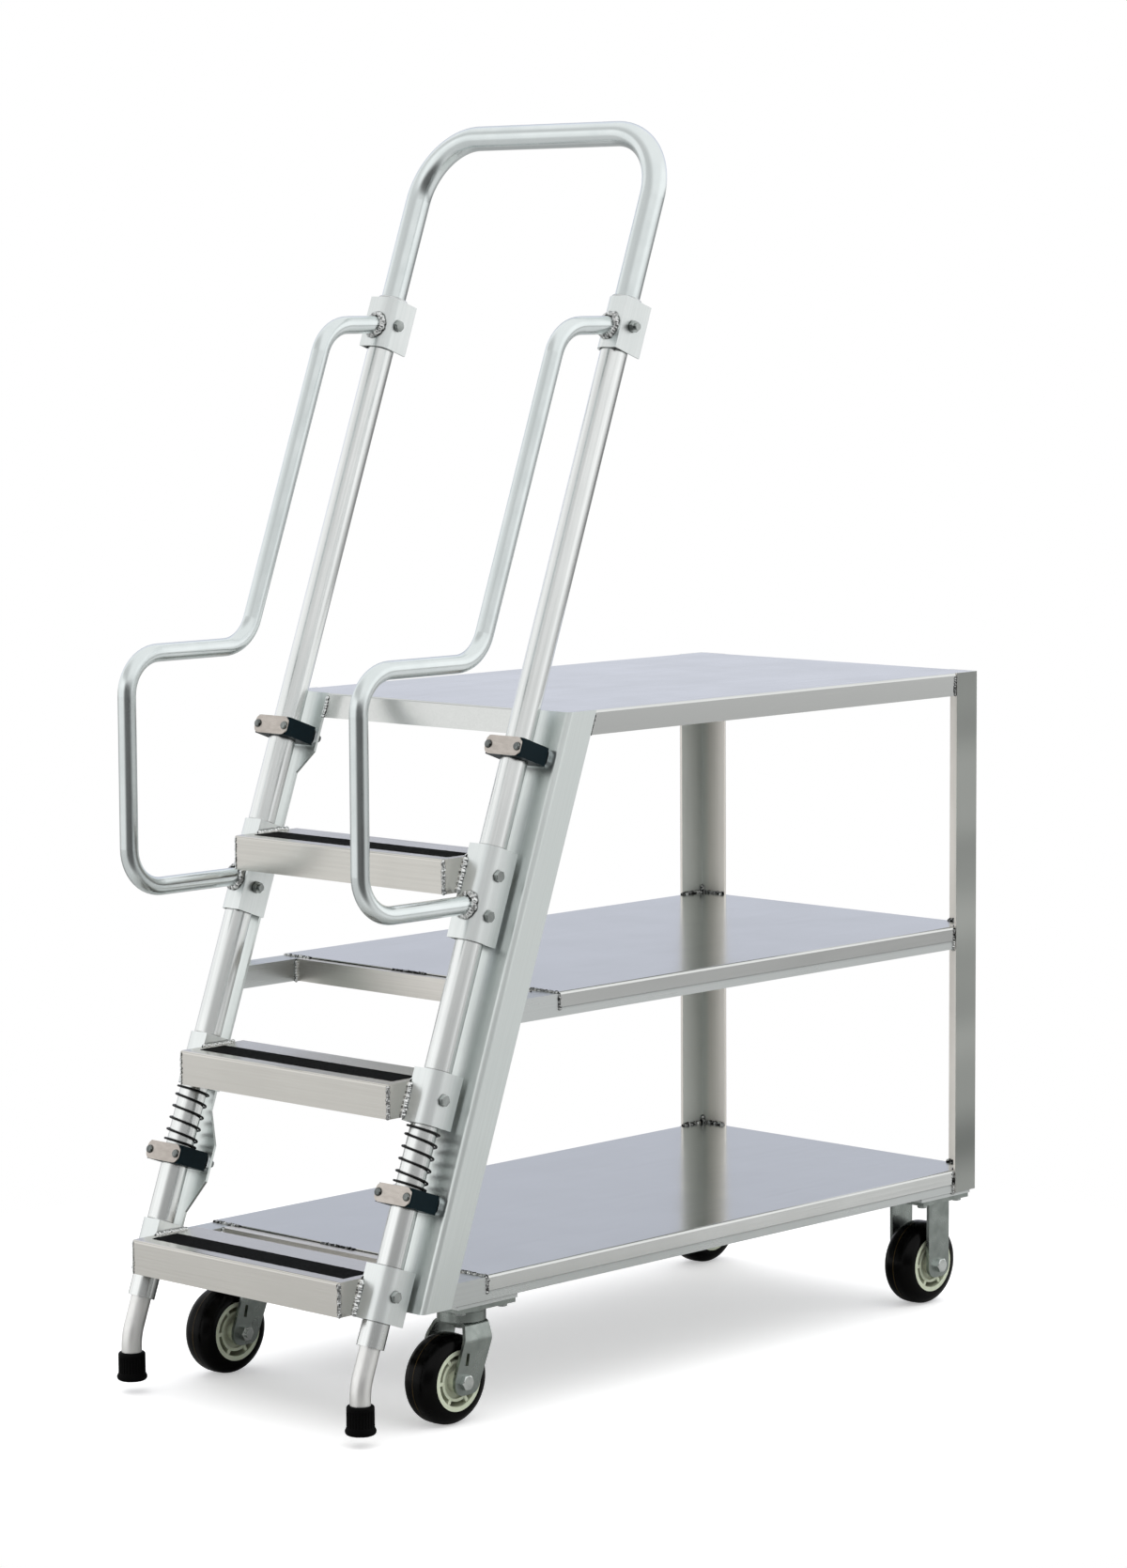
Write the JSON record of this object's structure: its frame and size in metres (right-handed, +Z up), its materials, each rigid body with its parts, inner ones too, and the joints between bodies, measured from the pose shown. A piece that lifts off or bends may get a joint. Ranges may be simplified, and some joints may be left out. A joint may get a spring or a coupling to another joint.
{
  "type": "ladder cart",
  "caption": "Aluminium shelf trolley with a spring-held step ladder, bent handrails and a handle loop on one end, swivel casters at the front and rigid casters behind.",
  "frame": {"origin": "on the floor, at the middle of the cart's whole length and width", "axes": "+Z up, +X from the ladder towards the rear of the cart, +Y to the left of a person climbing"},
  "size_m": [1.2662, 0.556, 1.7591],
  "materials": {
    "deck_aluminium": "satin mill sheet with soft reflections",
    "frame_aluminium": "satin mill finish",
    "tube_aluminium": "drawn tube with fine lengthwise streaks",
    "step_aluminium": "satin mill finish with weld beads",
    "zinc_steel": "bright zinc plating",
    "plate_steel": "brushed stainless",
    "guide_plastic": "matt moulded nylon",
    "spring_steel": "black oxide wire",
    "grip_tape": "gritty matt tape",
    "tip_rubber": "matt moulded rubber",
    "wheel_core": "cream moulded polyolefin",
    "wheel_tread": "glossy polyurethane with a parting line"
  },
  "bodies": {
    "cart": {"top_deck": "deck_aluminium", "middle_pan": "deck_aluminium", "bottom_pan": "deck_aluminium", "rear_post_left": "frame_aluminium", "rear_post_right": "frame_aluminium", "stringer_left": "frame_aluminium", "stringer_right": "frame_aluminium", "middle_side_member_left": "frame_aluminium", "middle_side_member_right": "frame_aluminium", "middle_cross_members": "frame_aluminium", "bottom_side_member_left": "frame_aluminium", "bottom_side_member_right": "frame_aluminium", "bottom_cross_members": "frame_aluminium", "caster_pads": "frame_aluminium", "swivel_plate_left": "zinc_steel", "swivel_plate_right": "zinc_steel", "swivel_balls": "zinc_steel", "rigid_fork_left": "zinc_steel", "rigid_fork_right": "zinc_steel", "rigid_axles": "zinc_steel", "caster_plate_bolts": "zinc_steel", "guide_face_plates": "plate_steel", "guide_back_plates": "plate_steel", "guide_screws": "plate_steel", "upper_guide_block_left": "guide_plastic", "upper_guide_block_right": "guide_plastic", "lower_guide_block_left": "guide_plastic", "lower_guide_block_right": "guide_plastic", "spring_left": "spring_steel", "spring_right": "spring_steel"},
    "ladder": {"rail_left": "tube_aluminium", "rail_right": "tube_aluminium", "handle_loop": "tube_aluminium", "handrail_left": "tube_aluminium", "handrail_right": "tube_aluminium", "leg_left": "tube_aluminium", "leg_right": "tube_aluminium", "lower_step": "step_aluminium", "middle_step": "step_aluminium", "upper_step": "step_aluminium", "lower_step_brackets": "step_aluminium", "middle_step_brackets": "step_aluminium", "upper_step_brackets": "step_aluminium", "top_bracket_left": "step_aluminium", "top_bracket_right": "step_aluminium", "ladder_bolts": "zinc_steel", "grip_strips": "grip_tape", "foot_tips": "tip_rubber"},
    "swivel_left": {"swivel_fork_left": "zinc_steel", "swivel_axle_left": "zinc_steel"},
    "swivel_right": {"swivel_fork_right": "zinc_steel", "swivel_axle_right": "zinc_steel"},
    "front_wheel_left": {"front_wheel_core_left": "wheel_core", "front_wheel_tread_left": "wheel_tread"},
    "front_wheel_right": {"front_wheel_core_right": "wheel_core", "front_wheel_tread_right": "wheel_tread"},
    "rear_wheel_left": {"rear_wheel_core_left": "wheel_core", "rear_wheel_tread_left": "wheel_tread"},
    "rear_wheel_right": {"rear_wheel_core_right": "wheel_core", "rear_wheel_tread_right": "wheel_tread"}
  },
  "joints": [
    {"name": "ladder_slide", "type": "slide", "parent": "cart", "child": "ladder", "axis": [-0.3463, 0, -0.9381], "range_m": [0, 0.018], "stiffness_N_per_m": 3800, "springref_m": -0.032, "deforming": ["spring_left", "spring_right"]},
    {"name": "swivel_turn_left", "type": "hinge", "parent": "cart", "child": "swivel_left", "pos_m": [-0.41213, 0.221, 0.146], "axis": [0, 0, 1], "continuous": true},
    {"name": "front_wheel_roll_left", "type": "hinge", "parent": "swivel_left", "child": "front_wheel_left", "pos_m": [-0.44413, 0.221, 0.0625], "axis": [0, 1, 0], "continuous": true},
    {"name": "rear_wheel_roll_left", "type": "hinge", "parent": "cart", "child": "rear_wheel_left", "pos_m": [0.56711, 0.221, 0.0625], "axis": [0, 1, 0], "continuous": true},
    {"name": "swivel_turn_right", "type": "hinge", "parent": "cart", "child": "swivel_right", "pos_m": [-0.41213, -0.221, 0.146], "axis": [0, 0, 1], "continuous": true},
    {"name": "front_wheel_roll_right", "type": "hinge", "parent": "swivel_right", "child": "front_wheel_right", "pos_m": [-0.44413, -0.221, 0.0625], "axis": [0, 1, 0], "continuous": true},
    {"name": "rear_wheel_roll_right", "type": "hinge", "parent": "cart", "child": "rear_wheel_right", "pos_m": [0.56711, -0.221, 0.0625], "axis": [0, 1, 0], "continuous": true}
  ]
}
